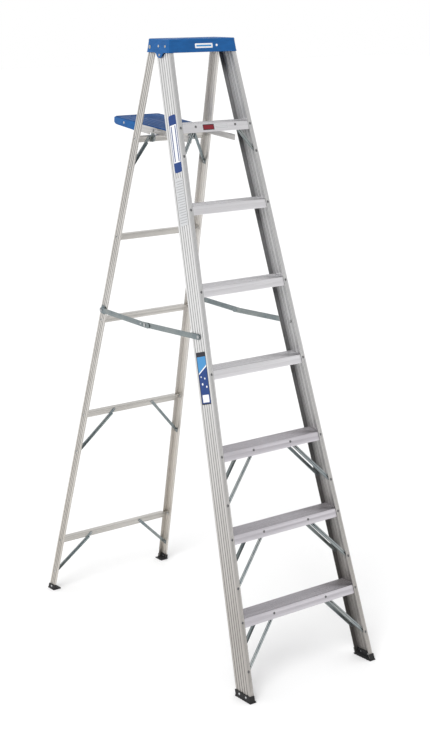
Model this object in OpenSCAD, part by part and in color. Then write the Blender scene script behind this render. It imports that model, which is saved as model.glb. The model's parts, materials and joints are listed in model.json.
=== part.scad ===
// Folding platform step ladder with top cap, spreaders and pail shelf.
// Frame: +X to the user's right as they face the steps, +Y to the rear, +Z up, floor at z = 0. Units mm.

/* [Stance] */
// Lean of the front (step) section from vertical, degrees
front_lean = 16.34; // [10:0.01:25]
// Lean of the rear section from vertical, degrees
rear_lean = 14.54; // [8:0.01:25]
// Outer half width of the front rails at the floor
front_half = 307.3; // [200:0.1:400]
// Outer half width of the rear rails at the floor
rear_half = 301.2; // [200:0.1:400]
// Narrowing of the front rails per mm of height, each side
front_taper = 0.0657; // [0:0.0001:0.12]
// Narrowing of the rear rails per mm of height, each side
rear_taper = 0.0639; // [0:0.0001:0.12]
// Front rails' front face at the floor
front_y = -701; // [-900:1:-400]
// Rear rails' rear face at the floor
rear_y = 702.5; // [400:0.5:900]

/* [Rails] */
// Front rail depth, square to the rail
front_depth = 78.4; // [50:0.1:110]
// Front rail flange width
front_flange = 19.6; // [12:0.1:35]
// Rear rail depth, square to the rail
rear_depth = 38.3; // [25:0.1:60]
// Rear rail's long rear flange
rear_flange = 19.4; // [10:0.1:30]
// Rear rail's short front lip
rear_lip = 5.7; // [3:0.1:15]
// Wall thickness of rails, steps and bars
wall = 2; // [1.2:0.1:3]
// Depth of the grooves rolled into the rails' outer faces
groove = 0.8; // [0:0.1:0.8]

/* [Steps] */
// Vertical distance between steps
pitch = 291.5; // [250:0.5:320]
// Depth of a step's front and rear skirts
skirt = 31.6; // [20:0.1:50]
// Width of those grooves
groove_w = 3; // [1:0.1:4]
// Depth of the tread's grip grooves
grip = 1; // [0.4:0.1:1.4]
// Knee brace strip thickness
brace_t = 1.6; // [1:0.1:2.5]
// Knee brace strip width
brace_w = 14; // [10:0.5:25]

/* [Top cap] */
// Cap height
cap_h = 50; // [35:0.5:70]
// Underside of the cap's skirt above the floor
cap_z = 2297; // [2000:1:2600]
// Cap half width at its bottom edge
cap_half = 162.9; // [120:0.1:220]
// Cap wall thickness
cap_wall = 3; // [2:0.1:5]

/* [Rear section] */
// Height of a rear bar's front leg
bar_h = 24; // [14:0.5:35]
// Rear bar depth, square to the section
bar_d = 27; // [14:0.5:35]
// Front face of the bars, ahead of the rear face
bar_off = 16; // [10:0.5:25]

/* [Spreaders] */
// Width of the spreader links
link_w = 21.5; // [12:0.5:30]
// Thickness of the spreader links
link_t = 2; // [1.5:0.1:4]

/* [Pail shelf] */
// Half width of the shelf tray
shelf_half = 106.7; // [80:0.1:140]
// Height of the shelf arms
arm_h = 22; // [14:0.5:35]
// Nose-down tilt of the shelf as set up, degrees
shelf_tilt = 5; // [0:0.1:10]

/* [Hidden] */
e = 0.02;
clr = 0.05;
splay_f = atan(front_taper * cos(front_lean));
splay_r = atan(rear_taper * cos(rear_lean));
n_steps = 7;
// rail-axis station of a world height zw on the front section, at rail x and local depth y
function zf(zw, x, y) = ((zw + y * sin(front_lean)) / cos(front_lean) - x * sin(splay_f)) / cos(splay_f);
function zr(zw, x, y) = ((zw - y * sin(rear_lean)) / cos(rear_lean) - x * sin(splay_r)) / cos(splay_r);
// lean-frame height and half width
function lf(zw, y) = (zw + y * sin(front_lean)) / cos(front_lean);
function lr(zw, y) = (zw - y * sin(rear_lean)) / cos(rear_lean);
function wf(l) = front_half - l * tan(splay_f);
function vr(l) = rear_half - l * tan(splay_r);
rail_top = 2336;
riv_in = 10;        // rivet line, in from the web's outer face
riv_r = 2.4;
step_riv_dz = 11;
brace_steps = [1, 2, 3];
brace_up_dz = 12;
brace_up_in = 160;
brace_lo_dz = 182;
top_up_in = 79.5;
top_lo_dz = 112;
hinge = [89.3, 2316.7];
hinge_r = 4;
spr_a = [351.6, 1281.1];   // rear spreader pivot
spr_b = [-287, 1283.1];    // front spreader pivot
spr_k = [51, 1271.5];      // knuckle
spr_r = 3.5;
link_in_x = 224.6;         // inner face of the front link
link_out_x = link_in_x + link_t + 1.2;
link_over = 20;            // how far each link runs past the knuckle
shelf_p = [154.8, 2000.5]; // shelf pivot
shelf_r = 3;
bar_top = [244.5, 829.5, 1246.5, 1591, 1979];  // tops of the rear bars, lowest first
bar_brace = [[0, 157, 150], [1, 151, 165], [4, 63, 112]]; // bar, rivet in from web, drop to the web tab
boot_h = 24;
sole = 6;
tread = n_steps * pitch;
silver = [0.78, 0.79, 0.8];
zinc = [0.62, 0.66, 0.68];
blue = [0.1, 0.27, 0.56];
black = [0.05, 0.05, 0.055];
steel = [0.7, 0.7, 0.7];

// ---------- frames ----------
module fr() { translate([0, front_y, 0]) rotate([-front_lean, 0, 0]) children(); }
module rr() { translate([0, rear_y, 0]) rotate([rear_lean, 0, 0]) children(); }
module flip(s) { if (s < 0) mirror([1, 0, 0]) children(); else children(); }
module both() { children(); mirror([1, 0, 0]) children(); }
// rail frames: x = 0 is the web's outer face, +x outwards, z along the rail
module fr_rail() { fr() translate([front_half, 0, 0]) rotate([0, -splay_f, 0]) children(); }
module rr_rail() { rr() translate([rear_half, 0, 0]) rotate([0, -splay_r, 0]) children(); }
module slab(z0, z1) { translate([-600, -1000, z0]) cube([1200, 2000, z1 - z0]); }
// cylinder along y, from y0 to y1
module ycyl(r, y0, y1, n = 20) { translate([0, y0, 0]) rotate([-90, 0, 0]) cylinder(r = r, h = y1 - y0, $fn = n); }
module xcyl(r, x0, x1, n = 24) { translate([x0, 0, 0]) rotate([0, 90, 0]) cylinder(r = r, h = x1 - x0, $fn = n); }
// domed head of base radius a and height h, rising along +z from z = 0
module dome(a, h, n = 20) {
  ball = (a * a + h * h) / (2 * h);
  intersection() {
    translate([0, 0, h - ball]) sphere(r = ball, $fn = 48);
    cylinder(r = a, h = h + 1, $fn = n);
  }
}
// rivet along +y: head before y0, shank y0..y1, formed tail after y1
module yrivet(r, y0, y1, n = 16) {
  ycyl(r - clr, y0 - e, y1 + e, n);
  translate([0, y0, 0]) rotate([90, 0, 0]) dome(1.9 * r, 0.8 * r);
  ycyl(1.5 * r, y1, y1 + 0.6 * r, n);
}
// rivet along x: head outside x1, tail inside x0
module xrivet(r, x0, x1, n = 16) {
  xcyl(r - clr, x0 - e, x1 + e, n);
  translate([x1, 0, 0]) rotate([0, 90, 0]) dome(1.9 * r, 0.8 * r);
  xcyl(1.5 * r, x0 - 0.6 * r, x0, n);
}

// ---------- rails ----------
module c_profile(d, lip_f, lip_r, n_out, n_in) {
  pg = (d - 8) / n_out;
  difference() {
    union() {
      translate([-wall, 0]) square([wall, d]);
      translate([-lip_f, 0]) square([lip_f, wall]);
      translate([-lip_r, d - wall]) square([lip_r, wall]);
      for (i = [1 : n_in])
        translate([-wall - 0.9, i * d / (n_in + 1) - 1]) square([1, 2]);
    }
    for (i = [0 : n_out - 1])
      translate([-groove, 4 + (i + 0.5) * pg - groove_w / 2]) square([1, groove_w]);
  }
}
module front_rail_solid() {
  intersection() {
    fr_rail() translate([0, 0, -60]) linear_extrude(2640)
      c_profile(front_depth, front_flange, front_flange, 5, 4);
    slab(sole, rail_top);
  }
}
module front_rail_holes() {
  fr_rail() {
    for (k = [1 : n_steps]) {
      translate([-riv_in, 0, zf(k * pitch - step_riv_dz, -riv_in, 0)]) ycyl(riv_r, -1, wall + 1, 16);
      translate([-riv_in, 0, zf(k * pitch - step_riv_dz, -riv_in, front_depth)])
        ycyl(riv_r, front_depth - wall - 1, front_depth + 1, 16);
    }
    for (k = brace_steps) {
      translate([-riv_in, 0, zf(k * pitch - brace_lo_dz, -riv_in, 0)]) ycyl(riv_r, -1, wall + 1, 16);
      translate([-riv_in, 0, zf(k * pitch - brace_lo_dz, -riv_in, front_depth)])
        ycyl(riv_r, front_depth - wall - 1, front_depth + 1, 16);
    }
    translate([-riv_in, 0, zf(tread - top_lo_dz, -riv_in, 0)]) ycyl(riv_r, -1, wall + 1, 16);
    for (dy = [20, 58]) translate([0, dy, zf(15, 0, dy)]) xcyl(riv_r, -6, 2, 16);
  }
  for (p = cap_holes) translate([0, p[0], p[1]]) xcyl(2.6, 120, 200, 20);
  translate([0, spr_b[0], spr_b[1]]) xcyl(spr_r, 200, 240, 24);
}
cap_holes = [[34, 2320.7], [-7.7, 2320.3], [27, 2288.6]];
module front_rail(s) {
  color(silver) flip(s) difference() { front_rail_solid(); front_rail_holes(); }
}

// ---------- steps ----------
function yf(z) = front_y + z * tan(front_lean) + wall / cos(front_lean);
function yb(z) = front_y + z * tan(front_lean) + (front_depth - wall) / cos(front_lean);
module step_profile(zk) {
  t = wall / cos(front_lean);
  n = 10;
  w = yb(zk) - yf(zk);
  g = (w - 8) / n;
  top = [for (i = [0 : n - 1]) for (j = [0 : 3])
    [yf(zk) + 4 + (i + [0.18, 0.3, 0.7, 0.82][j]) * g, zk - [0, grip, grip, 0][j]]];
  polygon(concat(
    [[yf(zk - skirt), zk - skirt], [yf(zk - 1.2), zk - 1.2], [yf(zk) + 1.2, zk]],
    top,
    [[yb(zk) - 1.2, zk], [yb(zk - 1.2), zk - 1.2], [yb(zk - skirt), zk - skirt],
     [yb(zk - skirt) - t, zk - skirt], [yb(zk - 2.6) - t, zk - 2.6],
     [yf(zk - 2.6) + t, zk - 2.6], [yf(zk - skirt) + t, zk - skirt]]));
}
module step_solid(k) {
  zk = k * pitch;
  l0 = lf(zk - 60, 0);
  l1 = lf(zk + 60, front_depth);
  x0 = wf(l0) - (wall + 0.9 + 0.4) / cos(splay_f);
  x1 = wf(l1) - (wall + 0.9 + 0.4) / cos(splay_f);
  intersection() {
    rotate([90, 0, 90]) translate([0, 0, -330]) linear_extrude(660) step_profile(zk);
    fr() translate([0, front_depth + 20, 0]) rotate([90, 0, 0])
      linear_extrude(front_depth + 40) polygon([[-x0, l0], [x0, l0], [x1, l1], [-x1, l1]]);
  }
}
module step(k) {
  zk = k * pitch;
  color(silver) difference() {
    step_solid(k);
    both() {
      fr_rail() {
        translate([-riv_in, 0, zf(zk - step_riv_dz, -riv_in, 0)]) ycyl(riv_r, -1, 8, 16);
        translate([-riv_in, 0, zf(zk - step_riv_dz, -riv_in, front_depth)])
          ycyl(riv_r, front_depth - 8, front_depth + 1, 16);
      }
      fr() {
        if (k <= 3) {
          translate([wf(lf(zk, 0)) - brace_up_in, 0, lf(zk - brace_up_dz, 0)]) ycyl(riv_r, -1, 8, 16);
          translate([wf(lf(zk, 0)) - brace_up_in, 0, lf(zk - brace_up_dz, front_depth)])
            ycyl(riv_r, front_depth - 8, front_depth + 1, 16);
        }
        if (k == n_steps)
          translate([wf(lf(zk, 0)) - top_up_in, 0, lf(zk - 10, 0)]) ycyl(riv_r, -1, 8, 16);
      }
    }
  }
}

// ---------- knee braces on the steps ----------
// a strip in the lean plane from lower point p to upper point q, front face at y0
module brace_bar(p, q, y0, w, deep, lip) {
  len = norm(q - p);
  translate([p[0], y0, p[1]]) rotate([0, -atan2(q[1] - p[1], q[0] - p[0]), 0]) {
    translate([0, 0, -w / 2 + 0.3]) cube([len, brace_t, w - 0.6]);
    for (x = [0, len]) translate([x, 0, 0]) ycyl(w / 2, 0, brace_t, 24);
    if (deep > 0) {
      translate([14, 0, w / 2 - brace_t]) cube([len - 30, deep, brace_t]);
      if (lip > 0) translate([14, deep - brace_t, w / 2 - lip]) cube([len - 30, brace_t, lip]);
    }
    translate([24, -0.5, -1.5]) cube([len - 66, 1, 3]);
  }
}
// one right-hand knee brace in the front section's frame, seen against the front or rear skirt
module knee(zk, up_in, up_dz, lo_dz, rear) {
  yd = rear ? front_depth : 0;
  q = [wf(lf(zk, 0)) - up_in, lf(zk - up_dz, yd)];
  lo = zf(zk - lo_dz, -riv_in, yd);
  p = [front_half - riv_in * cos(splay_f) - lo * sin(splay_f), lo * cos(splay_f) - riv_in * sin(splay_f)];
  fr() translate([0, rear ? front_depth : 0, 0]) mirror([0, rear ? 1 : 0, 0]) difference() {
    union() {
      brace_bar(p, q, 2 * wall, brace_w, 5, 0);
      translate([p[0], 0, p[1]]) ycyl(brace_w / 2 - 1, wall, 2 * wall + brace_t / 2, 24);
    }
    translate([p[0], 0, p[1]]) ycyl(riv_r, 0, 9, 16);
    translate([q[0], 0, q[1]]) ycyl(riv_r, 0, 9, 16);
  }
}
module knee_set(k) {
  color(zinc) both() {
    knee(k * pitch, brace_up_in, brace_up_dz, brace_lo_dz, false);
    knee(k * pitch, brace_up_in, brace_up_dz, brace_lo_dz, true);
  }
}
module knee_top() { color(zinc) both() knee(tread, top_up_in, 10, top_lo_dz, false); }
module knee_rivet_pair(zk, up_in, up_dz, lo_dz, rear) {
  yd = rear ? front_depth : 0;
  fr() translate([wf(lf(zk, 0)) - up_in, yd, lf(zk - up_dz, yd)]) mirror([0, rear ? 1 : 0, 0])
    yrivet(riv_r, wall, 2 * wall + brace_t);
  fr_rail() translate([-riv_in, yd, zf(zk - lo_dz, -riv_in, yd)]) mirror([0, rear ? 1 : 0, 0])
    yrivet(riv_r, 0, 2 * wall + brace_t);
}
module knee_rivets() {
  color(steel) both() {
    for (k = brace_steps) {
      knee_rivet_pair(k * pitch, brace_up_in, brace_up_dz, brace_lo_dz, false);
      knee_rivet_pair(k * pitch, brace_up_in, brace_up_dz, brace_lo_dz, true);
    }
    knee_rivet_pair(tread, top_up_in, 10, top_lo_dz, false);
  }
}
module step_rivets() {
  color(steel) both() fr_rail() for (k = [1 : n_steps]) {
    translate([-riv_in, 0, zf(k * pitch - step_riv_dz, -riv_in, 0)]) yrivet(riv_r, 0, 2 * wall, 14);
    translate([-riv_in, front_depth, zf(k * pitch - step_riv_dz, -riv_in, front_depth)])
      mirror([0, 1, 0]) yrivet(riv_r, 0, 2 * wall, 14);
  }
}

// ---------- top cap ----------
cap_top_half = 156.5;
cap_front = [-30.4, -23.2];   // front face at the bottom edge and at the top
cap_rear = [110.5, 105.4];    // rear face at the bottom edge and at the top
module rounded(x0, x1, y0, y1, r) {
  translate([x0 + r, y0]) square([x1 - x0 - 2 * r, y1 - y0]);
  translate([x0, y0 + r]) square([x1 - x0, y1 - y0 - 2 * r]);
  for (x = [x0 + r, x1 - r]) for (y = [y0 + r, y1 - r]) translate([x, y]) circle(r = r, $fn = 32);
}
// tapering block with its walls moved in by t, from z0 to z1
module cap_block(t, z0, z1, r) {
  h = cap_h;
  intersection() {
    translate([0, 400, cap_z]) rotate([90, 0, 0]) linear_extrude(800)
      polygon([[-cap_half + t, 0], [cap_half - t, 0], [cap_top_half - t, h], [-cap_top_half + t, h]]);
    translate([0, 0, cap_z]) rotate([90, 0, 90]) translate([0, 0, -200]) linear_extrude(400)
      polygon([[cap_front[0] + t, 0], [cap_rear[0] - t, 0], [cap_rear[1] - t, h], [cap_front[1] + t, h]]);
    translate([0, 0, z0]) linear_extrude(z1 - z0)
      rounded(-cap_half + t, cap_half - t, cap_front[0] + t, cap_rear[0] - t, r);
  }
}
module cap_ear() {
  translate([cap_half - cap_wall - 0.5, 27, cap_z + 2]) rotate([0, 90, 0])
    difference() {
      linear_extrude(cap_wall) union() {
        circle(r = 20, $fn = 40);
        polygon([[0, -32], [0, 32], [7, 18], [7, -18]]);
      }
      translate([-40, -40, -1]) cube([39, 80, 10]);
    }
}
module top_cap() {
  color(blue) difference() {
    union() {
      difference() {
        cap_block(0, cap_z, cap_z + cap_h, 8);
        cap_block(cap_wall, cap_z, cap_z + cap_h - 4, 5);
        translate([-150, -20, cap_z - 1]) cube([300, 120, 2]);
      }
      // raised rim round the tool tray on top
      intersection() {
        cap_block(0, cap_z, cap_z + cap_h, 8);
        union() {
          for (x = [-88, -30, 30, 88]) translate([x - 1.2, -40, cap_z + 26]) cube([2.4, 160, 30]);
          translate([-120, 25, cap_z + 26]) cube([240, 2.4, 30]);
        }
      }
      both() cap_ear();
    }
    // shallow tray in the top
    translate([0, 38, cap_z + cap_h - 1.6]) linear_extrude(4) rounded(-138, 138, -54, 54, 10);
    for (p = cap_holes) translate([0, p[0], p[1]]) { xcyl(2.6, 120, 200, 20); mirror([1, 0, 0]) xcyl(2.6, 120, 200, 20); }
    translate([0, hinge[0], hinge[1]]) { xcyl(hinge_r, 120, 200, 32); mirror([1, 0, 0]) xcyl(hinge_r, 120, 200, 32); }
  }
}
module cap_rivets() {
  color(steel) both() for (p = cap_holes) {
    xo = cap_half - (p[1] - cap_z) * (cap_half - cap_top_half) / cap_h;
    translate([0, p[0], p[1]]) xrivet(2.6, wf(lf(p[1], 30)) - wall - 1.2, p[1] < cap_z ? cap_half - 0.45 : xo + 0.7);
  }
}
module hinge_pins() {
  color(zinc) both() translate([0, hinge[0], hinge[1]]) {
    xo = cap_half - (hinge[1] - cap_z) * (cap_half - cap_top_half) / cap_h + 0.95;
    xcyl(hinge_r - clr, 148.4, xo + e, 32);
    translate([xo, 0, 0]) rotate([0, 90, 0]) dome(7, 2.6, 32);
    xcyl(6.5, 146.2, 148.4, 32);
  }
}
module hinge_washers() {
  color(steel) both() translate([0, hinge[0], hinge[1]]) difference() {
    xcyl(8, 153.85, 156.05, 32);
    xcyl(hinge_r, 150, 160, 32);
  }
}

// ---------- feet ----------
module front_foot(s) {
  color(black) flip(s) difference() {
    union() {
      intersection() {
        fr_rail() translate([-front_flange - 0.4, -2.8, -60]) cube([front_flange + 3.4, front_depth + 5.6, 160]);
        slab(0, boot_h);
      }
      intersection() {
        fr_rail() translate([-front_flange - 4, -4.5, -60]) cube([front_flange + 8.2, front_depth + 9, 160]);
        slab(0, 4.5);
      }
    }
    // space for the rail
    intersection() {
      fr_rail() translate([0, 0, -60]) linear_extrude(200) union() {
        translate([-wall - 0.15, -0.15]) square([wall + 0.3, front_depth + 0.3]);
        for (y = [-0.15, front_depth - wall - 0.15])
          translate([-front_flange - 1, y]) square([front_flange + 1.1, wall + 0.3]);
      }
      slab(sole, 80);
    }
    // hollow of the channel, leaving a tongue against the web
    intersection() {
      fr_rail() translate([-60, wall + 0.15, -60]) cube([60 - wall - 0.9 - 3.4, front_depth - 2 * wall - 0.3, 200]);
      slab(sole + 1.5, 80);
    }
    intersection() {
      fr_rail() for (i = [1 : 4])
        translate([-wall - 1.05, i * front_depth / 5 - 1.15, -60]) cube([1.1, 2.3, 200]);
      slab(sole, 80);
    }
    for (i = [0 : 5]) translate([front_half - 40, front_y + 6 + i * 13, -1]) cube([60, 3.6, 2.2]);
    fr_rail() for (dy = [20, 58]) translate([0, dy, zf(15, 0, dy)]) xcyl(riv_r, -12, 8, 16);
  }
}
module front_foot_rivets() {
  color(steel) both() fr_rail() for (dy = [20, 58])
    translate([0, dy, zf(15, 0, dy)]) xrivet(riv_r, -wall - 0.9 - 3.4, 3);
}
module rear_foot(s) {
  color(black) flip(s) difference() {
    union() {
      intersection() {
        rr_rail() translate([-rear_flange - 0.4, -rear_depth - 2.4, -60])
          cube([rear_flange + 3.2, rear_depth + 4.8, 160]);
        slab(0, boot_h - 2);
      }
      intersection() {
        rr_rail() translate([-rear_flange - 13, -rear_depth - 3, -60]) cube([rear_flange + 17, rear_depth + 6, 160]);
        slab(0, 4.5);
      }
    }
    intersection() {
      rr_rail() translate([0, 0, -60]) linear_extrude(200) union() {
        translate([-wall - 0.15, -rear_depth - 0.15]) square([wall + 0.3, rear_depth + 0.3]);
        translate([-rear_flange - 1, -wall - 0.15]) square([rear_flange + 1.1, wall + 0.3]);
        translate([-rear_lip - 0.2, -rear_depth - 0.15]) square([rear_lip + 0.3, wall + 0.3]);
      }
      slab(sole, 80);
    }
    intersection() {
      rr_rail() translate([-60, -rear_depth + wall + 0.15, -60])
        cube([60 - wall - 0.9 - 3.2, rear_depth - 2 * wall - 0.3, 200]);
      slab(sole + 1.5, 80);
    }
    intersection() {
      rr_rail() for (i = [1 : 2])
        translate([-wall - 1.05, -rear_depth + i * rear_depth / 3 - 1.15, -60]) cube([1.1, 2.3, 200]);
      slab(sole, 80);
    }
    intersection() {
      rr_rail() translate([-60, -rear_depth - 10, -60]) cube([60 - rear_lip - 0.2, 12 + wall, 200]);
      slab(sole + 1.5, 80);
    }
    for (i = [0 : 2]) translate([rear_half - 50, rear_y - 34 + i * 11.5, -1]) cube([70, 3.6, 2.2]);
    rr_rail() translate([0, -rear_depth / 2, zr(14, 0, -rear_depth / 2)]) xcyl(riv_r, -12, 8, 16);
  }
}
module rear_foot_rivets() {
  color(steel) both() rr_rail() translate([0, -rear_depth / 2, zr(14, 0, -rear_depth / 2)])
    xrivet(riv_r, -wall - 0.9 - 3.2, 2.8);
}

// ---------- rear section ----------
rear_top = 2310;
function bar_z(i) = bar_top[i];
tab_y = -16.5;
brace_tab_z = [for (b = bar_brace) bar_top[b[0]] - 8 - b[2]];
module rear_rail(s) {
  color(silver) flip(s) difference() {
    union() {
      intersection() {
        rr_rail() translate([0, 0, -60]) linear_extrude(2600) translate([0, -rear_depth])
          c_profile(rear_depth, rear_lip, rear_flange, 3, 2);
        slab(sole, rear_top);
      }
      // rounded top end of the web
      rr_rail() translate([-wall, -11.8, zr(hinge[1], 0, -11.8)]) xcyl(11, 0, wall - groove, 32);
      intersection() {
        rr_rail() translate([-wall, -22.6, zr(rear_top - 14, 0, -12)]) cube([wall - groove, 21.6, 22]);
        slab(2290, hinge[1]);
      }
    }
    translate([0, hinge[0], hinge[1]]) xcyl(hinge_r, 120, 200, 32);
    translate([0, spr_a[0], spr_a[1]]) xcyl(spr_r, 200, 240, 24);
    for (i = [0 : 4]) rr_rail() translate([0, tab_y, zr(bar_z(i) - 8, 0, tab_y)]) xcyl(riv_r, -8, 4, 16);
    for (z = brace_tab_z) rr_rail() translate([0, tab_y, zr(z, 0, tab_y)]) xcyl(riv_r, -8, 4, 16);
    rr_rail() translate([0, -rear_depth / 2, zr(14, 0, -rear_depth / 2)]) xcyl(riv_r, -12, 8, 16);
  }
}
// world y of the plane y_local = c in the rear frame, at height z
function yr(z, c) = rear_y - z * tan(rear_lean) + c / cos(rear_lean);
module bar_profile(zt) {
  t = wall / cos(rear_lean);
  a = -bar_off;
  b = bar_d - bar_off;
  polygon([[yr(zt - bar_h, a), zt - bar_h], [yr(zt - 1, a), zt - 1], [yr(zt, a) + 1, zt],
    [yr(zt, b) - 1, zt], [yr(zt - 1, b), zt - 1], [yr(zt - bar_h + 4, b), zt - bar_h + 4],
    [yr(zt - bar_h + 4, b) - t, zt - bar_h + 4], [yr(zt - wall, b) - t, zt - wall],
    [yr(zt - wall, a) + t, zt - wall], [yr(zt - bar_h, a) + t, zt - bar_h]]);
}
module rear_bar(i) {
  zt = bar_z(i);
  braced = (i == 0 || i == 1 || i == 4);
  bi = i == 0 ? 0 : i == 1 ? 1 : 2;
  color(silver) difference() {
    union() {
      difference() {
        rotate([90, 0, 90]) translate([0, 0, -310]) linear_extrude(620) bar_profile(zt);
        both() rr_rail() {
          translate([-wall - 1.1, -60, zr(zt, 0, 0) - 60]) cube([200, 120, 120]);
          translate([-rear_flange - 1.2, -wall - 0.2, zr(zt, 0, 0) - 60]) cube([200, 60, 120]);
        }
        both() intersection() {
          rr_rail() translate([-rear_flange - 1.2, -60, zr(zt, 0, 0) - 60]) cube([200, 120, 120]);
          slab(zt - bar_h - 5, zt - wall);
        }
      }
      both() intersection() {
        rr_rail() translate([-wall - 1.1 - 1.8, -25, zr(zt, 0, 0) - 50]) cube([1.8, 25 - wall - 0.4, 100]);
        slab(zt - 17, zt);
      }
    }
    both() {
      rr_rail() translate([0, tab_y, zr(zt - 8, 0, tab_y)]) xcyl(riv_r, -9, 4, 16);
      if (braced) rr() translate([vr(lr(zt, 0)) - bar_brace[bi][1], 0, lr(zt - 9, -bar_off)])
        ycyl(riv_r, -bar_off - 4, -bar_off + 5, 16);
      if (i == 4) rr() translate([88, 0, lr(zt - 10, -bar_off)]) ycyl(riv_r, -bar_off - 4, -bar_off + 5, 16);
    }
  }
}
module rear_brace(b, zt) {
  q = [vr(lr(bar_z(b[0]), 0)) - b[1], lr(bar_z(b[0]) - 9, -bar_off)];
  zs = zr(zt, 0, tab_y);
  p = [rear_half - (wall + 1.1) * cos(splay_r) - zs * sin(splay_r) - 1, zs * cos(splay_r)];
  difference() {
    union() {
      intersection() {
        rr() mirror([0, 1, 0]) brace_bar(p, q, bar_off + 0, 13, 8, 0);
        rr_rail() translate([-400, -60, -200]) cube([400 - wall - 1.1, 120, 3000]);
      }
      rr_rail() translate([-wall - 1.1 - brace_t, -25, zs - 9]) cube([brace_t, 19, 18]);
    }
    rr() translate([q[0], 0, q[1]]) ycyl(riv_r, -30, 0, 16);
    rr_rail() translate([0, tab_y, zs]) {
      xcyl(riv_r, -9, 4, 16);
      xcyl(1.5 * riv_r + 0.3, -12, -wall - 1.1 - brace_t, 24);
    }
  }
}
module rear_braces() {
  color(zinc) both() for (j = [0 : 2]) rear_brace(bar_brace[j], brace_tab_z[j]);
}
module rear_rivets() {
  color(steel) both() {
    for (i = [0 : 4]) rr_rail() translate([0, tab_y, zr(bar_z(i) - 8, 0, tab_y)]) xrivet(riv_r, -wall - 1.1 - 1.8, 0, 14);
    for (j = [0 : 2]) {
      rr_rail() translate([0, tab_y, zr(brace_tab_z[j], 0, tab_y)]) xrivet(riv_r, -wall - 1.1 - brace_t, 0, 14);
      rr() translate([vr(lr(bar_z(bar_brace[j][0]), 0)) - bar_brace[j][1], 0, lr(bar_z(bar_brace[j][0]) - 9, -bar_off)])
        yrivet(riv_r, -bar_off - brace_t, -bar_off + wall, 14);
    }
  }
}

// ---------- spreaders ----------
// link from p to q in the y-z plane, inner face at x, running link_over past the knuckle at q
module link(x, p, q, hp, hq) {
  len = norm(q - p);
  translate([x, p[0], p[1]]) rotate([atan2(q[1] - p[1], q[0] - p[0]), 0, 0]) difference() {
    union() {
      translate([0, 0, -link_w / 2 + 0.2]) cube([link_t, len + link_over, link_w - 0.4]);
      for (y = [0, len + link_over]) translate([0, y, 0]) xcyl(link_w / 2, 0, link_t, 32);
      translate([link_t - e, 24, -1.5]) cube([0.4, len - 50, 3]);
    }
    xcyl(hp, -1, link_t + 1, 24);
    translate([0, len, 0]) xcyl(hq, -1, link_t + 1, 24);
  }
}
module spreader_front(s) { color(zinc) flip(s) link(link_in_x, spr_b, spr_k, spr_r, 2.5); }
module spreader_rear(s) { color(zinc) flip(s) link(link_out_x, spr_a, spr_k, spr_r, spr_r); }
module knuckle_pin(s) {
  color(steel) flip(s) translate([0, spr_k[0], spr_k[1]]) {
    xcyl(spr_r - clr, link_out_x + 0.1, link_out_x + link_t + 1.2, 24);
    translate([link_out_x + link_t + 1.2 - e, 0, 0]) rotate([0, 90, 0])
      dome(7, 2.2, 32);
  }
}
module spreader_pins_front() {
  color(steel) both() translate([0, spr_b[0], spr_b[1]]) {
    xcyl(spr_r - clr, 218.6, link_in_x + link_t + 0.6, 24);
    translate([link_in_x + link_t + 0.6 - e, 0, 0]) rotate([0, 90, 0]) dome(6, 1.2, 32);
    xcyl(6, 216.6, 218.6, 24);
  }
}
// small bracket that carries the rear pivot clear of the rear rail
spr_a_y = -18;
module spreader_brackets() {
  color(zinc) both() difference() {
    union() {
      translate([0, spr_a[0], spr_a[1]]) xcyl(9, 212, link_out_x - 0.4, 32);
      rr_rail() translate([0, spr_a_y - 12, zr(spr_a[1], 0, spr_a_y) - 16]) cube([3, 24, 32]);
    }
    rr_rail() translate([-40, -80, zr(spr_a[1], 0, spr_a_y) - 60]) cube([40, 120, 120]);
    translate([0, spr_a[0], spr_a[1]]) xcyl(spr_r, 200, 240, 24);
  }
}
module spreader_pins_rear() {
  color(steel) both() translate([0, spr_a[0], spr_a[1]]) {
    xcyl(spr_r - clr, 214.6, link_out_x + link_t + 0.6, 24);
    translate([link_out_x + link_t + 0.6 - e, 0, 0]) rotate([0, 90, 0]) dome(6.5, 1.9, 32);
    xcyl(6, 212.6, 214.6, 24);
  }
}

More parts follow.
